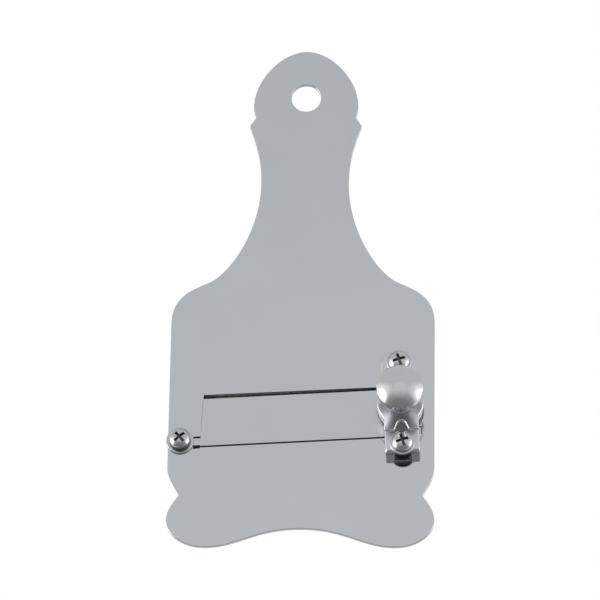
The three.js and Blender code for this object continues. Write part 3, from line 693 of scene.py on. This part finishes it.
def make_blade():
    half = BLADE_THICKNESS / 2
    hole = circle(knob_x, knob_y, stem_hole)
    blade = object_of("blade_sheet", sheet(blade_loop(), [hole], -half, half, BLADE_EDGE, BLADE_EDGE))
    ends = (left_notch_end, blade_ear_start() - BEVEL_RUNOUT)
    section = [(0, half - EDGE_LAND), (-BEVEL_LENGTH, -half), (-BEVEL_LENGTH, -2 * half),
               (BEVEL_LENGTH, -2 * half), (BEVEL_LENGTH, half - EDGE_LAND)]
    corners = [(x, edge_reach + y, z) for x in ends for y, z in section]
    cut(blade, object_of("bevel", hull_of(corners)))
    finish_piece(blade, "blade", "blade", "blade_steel", TILTED, GROUND)


def make_boss():
    boss = sheet(circle(0, 0, EAR_RADIUS, KNOB_STEPS), [circle(0, 0, stem_hole)],
                 0, BOSS_THICKNESS, WASHER_EDGE, SMALL_EDGE)
    place = TILTED @ Matrix.Translation((knob_x, knob_y, BLADE_THICKNESS / 2))
    # The boss takes a lighter, partly non-metal colour, as painted light
    finish_piece(object_of("boss", boss), "blade_boss", "blade", "blade_steel", place, BOSS_PAINTED_LIGHT)


# Knob, stem and ring
def knob_profile():
    socket = stem_radius + SOCKET_CLEARANCE
    socket_top = STEM_SOCKET_DEPTH + SOCKET_CLEARANCE
    collar = COLLAR_DIAMETER / 2
    shoulder = COLLAR_TOP_ROUNDING
    neck = NECK_DIAMETER / 2
    rim = KNOB_DIAMETER / 2
    lip = KNOB_RIM_ROUNDING
    band = KNOB_RIM_HEIGHT - KNOB_BAND_HEIGHT
    crown = rim - KNOB_RIM_EDGE
    apex = KNOB_RIM_HEIGHT + KNOB_DOME_HEIGHT
    dome = (crown ** 2 + KNOB_DOME_HEIGHT ** 2) / (2 * KNOB_DOME_HEIGHT)
    profile = [(0, socket_top), (socket, socket_top), (socket, 0)]
    profile += [(collar - COLLAR_CHAMFER, 0), (collar, COLLAR_CHAMFER)]
    profile += arc(neck, COLLAR_HEIGHT - shoulder, shoulder, 0, math.pi / 2, ROUNDING_STEPS)
    profile += [(neck, NECK_HEIGHT), (rim - lip, band - lip)]
    profile += arc(rim - lip, band, lip, -math.pi / 2, 0, ROUNDING_STEPS)[1:]
    profile += [(rim, KNOB_RIM_HEIGHT - KNOB_RIM_EDGE)]
    profile += arc(0, apex - dome, dome, math.acos(crown / dome), math.pi / 2)[:-1]
    profile += [(0, apex)]
    return profile


def make_knob():
    knob = object_of("knob_turned", turned(knob_profile(), KNOB_STEPS))
    finish_piece(knob, "knob", "knob", "knob_steel", at(knob_x, knob_y, knob_bottom), TURNED_KNOB)


def make_stem():
    top = knob_bottom + STEM_SOCKET_DEPTH
    plain = turned([(0, groove_bottom), (groove_radius, groove_bottom), (groove_radius, bridge_bottom),
                    (stem_radius, bridge_bottom), (stem_radius, top), (0, top)])
    stem = object_of("stem", joined(threaded(-STEM_BELOW_PADDLE, groove_bottom, stem_radius), plain))
    finish_piece(stem, "knob_stem", "knob", "turned_steel", at(knob_x, knob_y), PLAIN)


def open_ring(outer, inner, mouth, thickness):
    start, end = mouth / 2, 2 * math.pi - mouth / 2
    loop = arc(0, 0, outer, start, end, ROUND_STEPS) + arc(0, 0, inner, end, start, ROUND_STEPS)
    return sheet(loop, [], 0, thickness, SMALL_EDGE, SMALL_EDGE)


def make_ring():
    ring = open_ring(RING_DIAMETER / 2, groove_radius + GROOVE_CLEARANCE, RING_MOUTH, RING_THICKNESS)
    place = at(knob_x, knob_y, ring_bottom)
    finish_piece(object_of("ring", ring), "stem_ring", "knob", "turned_steel", place, PLAIN)


# Bridge, leaf, spacers and keepers
def strap_half():
    half_width = BRIDGE_WIDTH / 2
    pad = PAD_DIAMETER / 2
    fillet_x = half_width + PAD_FILLET
    fillet_y = math.sqrt((pad + PAD_FILLET) ** 2 - fillet_x ** 2)
    turn = math.atan2(fillet_y, fillet_x)
    half = arc(fillet_x, -fillet_y, PAD_FILLET, math.pi, math.pi - turn, ARC_STEPS // 2)
    half += arc(0, 0, pad, -turn, turn)
    half += arc(fillet_x, fillet_y, PAD_FILLET, turn - math.pi, -math.pi, ARC_STEPS // 2)
    half += arc(0, UPPER_SCREW_REACH, half_width, 0, math.pi / 2, ARC_STEPS, BRIDGE_NOSE)
    return half


def bent(bm):
    """Bends a flat strap's tail down about the inner bend's axis."""
    for i in range(BEND_STEPS + 1):
        level = bend_start - bend_arc * i / BEND_STEPS
        geometry = bm.verts[:] + bm.edges[:] + bm.faces[:]
        bmesh.ops.bisect_plane(bm, geom=geometry, plane_co=(0, level, 0), plane_no=(0, 1, 0))
    for vertex in bm.verts:
        along = bend_start - vertex.co.y
        if along > 0:
            angle = min(along / bend_reach, math.pi / 2)
            radius = BEND_RADIUS + vertex.co.z
            vertex.co.y = bend_start - radius * math.sin(angle)
            level = radius * math.cos(angle) - BEND_RADIUS - max(along - bend_arc, 0)
            vertex.co.z = max(level, -BRIDGE_RISE)
    return bm


def strap_holes():
    return [circle(0, 0, bearing_hole), circle(UPPER_SCREW_SHIFT, UPPER_SCREW_REACH, screw_hole)]


def finish_strap(strap, node, bottom):
    """A dull underside, whose near-white colour is painted light, and a satin upper face, beside the
    polished edges.
    """
    finishes = (STRAP_EDGE, UNDERSIDE_PAINTED_LIGHT, STRAP)
    for face in strap.data.polygons:
        if face.normal.z < -LEVEL:
            face.material_index = finishes.index(UNDERSIDE_PAINTED_LIGHT)
        elif face.normal.z > LEVEL:
            face.material_index = finishes.index(STRAP)
    finish_piece(strap, node, "frame", "polished_steel", at(knob_x, knob_y, bottom), *finishes)


def make_bridge():
    half_width = BRIDGE_WIDTH / 2
    leg_end = bend_start - bend_arc - BRIDGE_RISE + BEND_RADIUS - BRIDGE_EDGE
    notch = keeper_eye + LEG_CLEARANCE
    notch_end = bend_start - bend_reach * math.acos(BEND_RADIUS / bend_reach)
    half = [(0, notch_end), (notch, notch_end), (notch, leg_end), (half_width, leg_end)]
    outline = mirrored(tidy_loop(half + strap_half()))
    blank = sheet(outline, strap_holes(), 0, BRIDGE_THICKNESS, BRIDGE_EDGE, SMALL_EDGE)
    bridge = object_of("bridge_sheet", bent(blank))
    bore = circle(0, -lower_reach, screw_hole)
    drill = sheet(bore, [], -bend_reach, 2 * bend_reach, CRISP_EDGE, CRISP_EDGE)
    cut(bridge, object_of("bore", drill))
    finish_strap(bridge, "bridge", bridge_bottom)


def make_leaf():
    tail = -leaf_reach
    crown = tail + LEAF_NOTCH_DEPTH
    mouth = LEAF_NOTCH_WIDTH / 2
    notch = bezier((0, crown), (LEAF_NOTCH_CROWN * mouth, crown), (LEAF_NOTCH_FLARE * mouth, tail),
                   (mouth, tail))
    outline = mirrored(tidy_loop(notch + [(BRIDGE_WIDTH / 2, tail)] + strap_half()))
    leaf = sheet(outline, strap_holes(), 0, LEAF_THICKNESS, LEAF_EDGE, SMALL_EDGE)
    finish_strap(object_of("leaf", leaf), "friction_leaf", leaf_bottom)


def make_spacer(node, x, y, bottom):
    tube = sheet(circle(0, 0, spacer_radius), [circle(0, 0, screw_hole)], bottom, bridge_bottom,
                 SMALL_EDGE, SMALL_EDGE)
    # The spacer is painted near black, as painted shade
    finish_piece(object_of("tube", tube), node, "frame", "blackened_steel", at(x, y), DARK_SHADE_STEEL)


def make_keeper(node, reach, bottom):
    half_width = BRIDGE_WIDTH / 2 - KEEPER_INSET
    front = reach - lower_screw_y
    rear = opening_rear - KEEPER_REAR_MARGIN - lower_screw_y
    half = arc(0, 0, keeper_eye, -math.pi / 2, 0, ARC_STEPS)
    half += [(half_width, rear), (half_width, front), (0, front)]
    keeper = sheet(mirrored(half), [circle(0, 0, screw_hole)], 0, KEEPER_THICKNESS, SMALL_EDGE, SMALL_EDGE)
    place = at(knob_x, lower_screw_y, bottom)
    # The keeper is painted near black, as painted shade
    finish_piece(object_of("keeper", keeper), node, "frame", "blackened_steel", place, DARK_SHADE_STEEL)


# Fasteners
def make_washer(node, diameter, x, y, bottom):
    washer = sheet(circle(0, 0, diameter / 2 - WASHER_SKIN), [circle(0, 0, screw_hole)], 0, WASHER_THICKNESS,
                   WASHER_EDGE, SMALL_EDGE)
    finish_piece(object_of("washer", washer), node, "frame", "fastener_steel", at(x, y, bottom), FASTENER)


def recess_arm(turn):
    top = SCREW_HEAD_HEIGHT + RECESS_OVERCUT
    floor = SCREW_HEAD_HEIGHT - RECESS_DEPTH
    spin = Matrix.Rotation(turn, 4, "Z")
    corners = []
    for z in (floor, top):
        for sx in (-1, 1):
            for sy in (-1, 1):
                corners.append(spin @ Vector((sx * RECESS_SPAN / 2, sy * RECESS_WIDTH / 2, z)))
    return object_of("recess", hull_of(corners))


def make_screw(node, x, y, seat, end, turn):
    shank = SCREW_DIAMETER / 2
    head = SCREW_HEAD_DIAMETER / 2
    rim = SCREW_RIM_ROUNDING
    crown = SCREW_HEAD_HEIGHT - SCREW_HEAD_EDGE
    plain_end = -PADDLE_THICKNESS
    profile = [(0, plain_end), (shank, plain_end), (shank, 0), (head - rim, 0)]
    profile += arc(head - rim, rim, rim, -math.pi / 2, 0, SCREW_RIM_STEPS)[1:]
    profile += arc(0, SCREW_HEAD_EDGE, head, 0, math.pi / 2, ARC_STEPS, crown)[:-1]
    profile += [(0, SCREW_HEAD_HEIGHT)]
    screw = object_of("screw", turned(profile))
    dome = (head / crown) ** 2
    for arm in (turn, turn + math.pi / 2):
        cut(screw, recess_arm(arm))
    # Faces inside the cross recess take the second material, a painted shade
    for face in screw.data.polygons:
        x0, y0, z0 = face.center
        inside = x0 * x0 + y0 * y0 + dome * (z0 - SCREW_HEAD_EDGE) ** 2 < (head - RECESS_SKIN) ** 2
        face.material_index = int(inside and z0 > SCREW_HEAD_HEIGHT - RECESS_DEPTH - RECESS_SKIN)
    whole = bmesh.new()
    whole.from_mesh(screw.data)
    bpy.data.objects.remove(screw)
    screw = object_of("screw", joined(whole, threaded(end - seat, plain_end, shank)))
    finish_piece(screw, node, "frame", "fastener_steel", at(x, y, seat), FASTENER, RECESS_SHADE)


def make_nut(node, x, y, top):
    corner = NUT_ACROSS_FLATS / math.sqrt(3)
    flat = NUT_ACROSS_FLATS / 2
    wide = corner + NUT_CHAMFER_OVERCUT
    hexagon = circle(0, 0, corner, NUT_SIDES)
    prism = sheet(hexagon, [circle(0, 0, screw_hole)], 0, NUT_THICKNESS, CRISP_EDGE, CRISP_EDGE)
    nut = object_of("nut", prism)
    cone = turned([(0, 0), (flat, 0), (wide, NUT_CHAMFER), (wide, NUT_THICKNESS - NUT_CHAMFER),
                   (flat, NUT_THICKNESS), (0, NUT_THICKNESS)])
    cut(nut, object_of("cone", cone), "INTERSECT")
    finish_piece(nut, node, "frame", "fastener_steel", at(x, y, top - NUT_THICKNESS), FASTENER)


def make_fasteners():
    back = -WASHER_THICKNESS
    x, y = pivot_screw_x, PIVOT_SCREW_Y
    lock_bottom = PADDLE_THICKNESS + WASHER_THICKNESS
    head_seat = lock_bottom + LOCK_WASHER_THICKNESS
    end = back - NUT_THICKNESS + SCREW_END_INSET
    make_washer("pivot_washer", PIVOT_WASHER_DIAMETER, x, y, PADDLE_THICKNESS)
    lock = open_ring(LOCK_WASHER_DIAMETER / 2, screw_hole, LOCK_WASHER_SPLIT, LOCK_WASHER_THICKNESS)
    # The lock washer is painted near black, as painted shade under the screw head
    finish_piece(object_of("lock", lock), "pivot_lock_washer", "frame", "blackened_steel",
                 at(x, y, lock_bottom), LOCK_WASHER_SHADE)
    make_screw("pivot_screw", x, y, head_seat, end, PIVOT_RECESS_TURN)
    make_washer("pivot_back_washer", PIVOT_WASHER_DIAMETER, x, y, back)
    make_nut("pivot_nut", x, y, back)
    x, y = upper_screw_x, upper_screw_y
    make_washer("upper_washer", BRIDGE_WASHER_DIAMETER, x, y, leaf_top)
    make_screw("upper_screw", x, y, leaf_top + WASHER_THICKNESS, end, BRIDGE_RECESS_TURN)
    make_washer("upper_back_washer", BRIDGE_WASHER_DIAMETER, x, y, back)
    make_nut("upper_nut", x, y, back)
    x, y = knob_x, lower_screw_y
    end = -KEEPER_THICKNESS - NUT_THICKNESS + SCREW_END_INSET
    make_washer("lower_washer", BRIDGE_WASHER_DIAMETER, x, y, leaf_bottom)
    make_screw("lower_screw", x, y, leaf_bottom + WASHER_THICKNESS, end, BRIDGE_RECESS_TURN)
    make_nut("lower_nut", x, y, -KEEPER_THICKNESS)


make_paddle()
make_blade()
make_boss()
make_knob()
make_stem()
make_ring()
make_bridge()
make_leaf()
make_spacer("upper_spacer", upper_screw_x, upper_screw_y, PADDLE_THICKNESS)
make_spacer("lower_spacer", knob_x, lower_screw_y, PADDLE_THICKNESS + KEEPER_THICKNESS)
make_keeper("front_keeper", tab_half - EAR_DIP - KEEPER_BOSS_GAP, PADDLE_THICKNESS)
make_keeper("back_keeper", tab_half, -KEEPER_THICKNESS)
make_fasteners()


# Stage, in metres: a white floor with shade close under the part, but none under the hanging hole
FLOOR_GAP = 0.0001
FLOOR_RADIUS = 0.16
FLOOR_GREY = (0.8, 0.8, 0.8, 1)
SHADE_REACH = 0.03
SHADE_SAMPLES = 16
SHADE_DARK = 0.17
SHADE_CLEAR = 0.29
SHADE_TONE = 0.012
HOLE_LIGHT = 0.012


def floor_material(level):
    """Shaded white where the camera or a mirror sees it, and matt grey for all other light."""
    material = bpy.data.materials.new("white_floor")
    material.use_nodes = True
    tree = material.node_tree
    nodes = tree.nodes
    links = tree.links
    nodes.clear()
    path = nodes.new("ShaderNodeLightPath")
    bounced = combined(tree, "MAXIMUM", path.outputs["Is Glossy Ray"], path.outputs["Is Transmission Ray"])
    seen = combined(tree, "MAXIMUM", path.outputs["Is Camera Ray"], bounced)
    shade = nodes.new("ShaderNodeAmbientOcclusion")
    shade.samples = SHADE_SAMPLES
    shade.inputs["Distance"].default_value = SHADE_REACH
    clear = ramped(tree, shade.outputs["AO"], SHADE_DARK, SHADE_CLEAR, SHADE_TONE, 1)
    place = nodes.new("ShaderNodeTexCoord")
    away = nodes.new("ShaderNodeVectorMath")
    away.operation = "DISTANCE"
    away.inputs[1].default_value = (0, (paddle_top - HANG_HOLE_DROP) * MM, level)
    links.new(place.outputs["Object"], away.inputs[0])
    under_hole = combined(tree, "LESS_THAN", away.outputs["Value"], HOLE_LIGHT)
    white = nodes.new("ShaderNodeEmission")
    links.new(combined(tree, "MAXIMUM", clear, under_hole), white.inputs["Strength"])
    matt = nodes.new("ShaderNodeBsdfDiffuse")
    matt.inputs["Color"].default_value = FLOOR_GREY
    output = nodes.new("ShaderNodeOutputMaterial")
    links.new(mixed(tree, seen, matt.outputs[0], white.outputs[0]), output.inputs["Surface"])
    return material


def make_floor():
    mesh = bpy.data.meshes.new("floor")
    level = floor_level * MM - FLOOR_GAP
    corners = [(x, y, level) for x, y in circle(0, 0, FLOOR_RADIUS)]
    mesh.from_pydata(corners, [], [list(range(len(corners)))])
    floor = bpy.data.objects.new("floor", mesh)
    bpy.context.scene.collection.objects.link(floor)
    mesh.materials.append(floor_material(level))


# Studio: white for the camera, and for the metal a pale room with soft lights and a glow at its sides
ROOM_TONE = 0.95

# Azimuth and elevation of each light, in degrees, and its strength
CEILING_LIFT = ((0, 90, 0.13),)
FRONT_SHADE = ((0, 25, -0.6),)
SOFT_LIGHTS = (
    (-78, -8, 2.4), (-77, 8, 2.4), (-80, 24, 2.0), (86, -6, 2.0), (85, 8, 1.6), (82, 24, 0.6),
)
SIDE_GLOW = (
    (-98, -6, 0.65), (-98, 18, 0.6), (-94, 42, 0.4), (99, -6, 0.6), (99, 18, 0.5), (94, 42, 0.25),
)

# Degrees from a light's centre to where it starts to fade, and to where it ends
CEILING_SPREAD = (17, 30)
SHADE_SPREAD = (15, 75)
LIGHT_SPREAD = (8, 26)
GLOW_SPREAD = (1, 28)


def direction(azimuth, elevation):
    """A unit vector, with azimuth 0 towards the front of the paddle and positive to its right."""
    a, e = math.radians(azimuth), math.radians(elevation)
    return (math.sin(a) * math.cos(e), -math.cos(a) * math.cos(e), math.sin(e))


def make_world():
    world = bpy.data.worlds.new("studio")
    bpy.context.scene.world = world
    world.use_nodes = True
    tree = world.node_tree
    nodes = tree.nodes
    links = tree.links
    nodes.clear()
    coords = nodes.new("ShaderNodeTexCoord")
    tone = ROOM_TONE
    for lights, spread in ((CEILING_LIFT, CEILING_SPREAD), (FRONT_SHADE, SHADE_SPREAD),
                           (SOFT_LIGHTS, LIGHT_SPREAD), (SIDE_GLOW, GLOW_SPREAD)):
        inner, outer = (math.cos(math.radians(angle)) for angle in spread)
        for azimuth, elevation, strength in lights:
            facing = nodes.new("ShaderNodeVectorMath")
            facing.operation = "DOT_PRODUCT"
            facing.inputs[1].default_value = direction(azimuth, elevation)
            links.new(coords.outputs["Generated"], facing.inputs[0])
            light = ramped(tree, facing.outputs["Value"], outer, inner, 0, strength)
            tone = combined(tree, "ADD", tone, light)
    room = nodes.new("ShaderNodeBackground")
    links.new(tone, room.inputs["Strength"])
    white = nodes.new("ShaderNodeBackground")
    for background in (room, white):
        background.inputs["Color"].default_value = (1, 1, 1, 1)
    path = nodes.new("ShaderNodeLightPath")
    straight = combined(tree, "MAXIMUM", path.outputs["Is Camera Ray"], path.outputs["Is Transmission Ray"])
    output = nodes.new("ShaderNodeOutputWorld")
    links.new(mixed(tree, straight, room.outputs[0], white.outputs[0]), output.inputs["Surface"])


# Camera at the photograph's angle
VIEW_AZIMUTH = math.radians(5.2798)
VIEW_ELEVATION = math.radians(66)
VIEW_ROLL = math.radians(-4.8819)
VIEW_DISTANCE = 1.5022
VIEW_TARGET = Vector((-0.0010776, -0.002445, 0.0014))
VIEW_LENS = 270.4
VIEW_SENSOR = 36.0


def make_camera():
    back = Vector((math.sin(VIEW_AZIMUTH) * math.cos(VIEW_ELEVATION),
                   -math.cos(VIEW_AZIMUTH) * math.cos(VIEW_ELEVATION), math.sin(VIEW_ELEVATION)))
    right = Vector((math.cos(VIEW_AZIMUTH), math.sin(VIEW_AZIMUTH), 0))
    up = back.cross(right)
    c, s = math.cos(VIEW_ROLL), math.sin(VIEW_ROLL)
    x_axis = c * right + s * up
    y_axis = c * up - s * right
    camera = bpy.data.objects.new("camera", bpy.data.cameras.new("camera"))
    camera.data.sensor_width = VIEW_SENSOR
    camera.data.lens = VIEW_LENS
    turn = Matrix((x_axis, y_axis, back)).transposed().to_4x4()
    camera.matrix_world = Matrix.Translation(VIEW_TARGET + back * VIEW_DISTANCE) @ turn
    bpy.context.scene.collection.objects.link(camera)
    bpy.context.scene.camera = camera


make_floor()
make_world()
make_camera()
bpy.context.scene.view_settings.view_transform = "Standard"
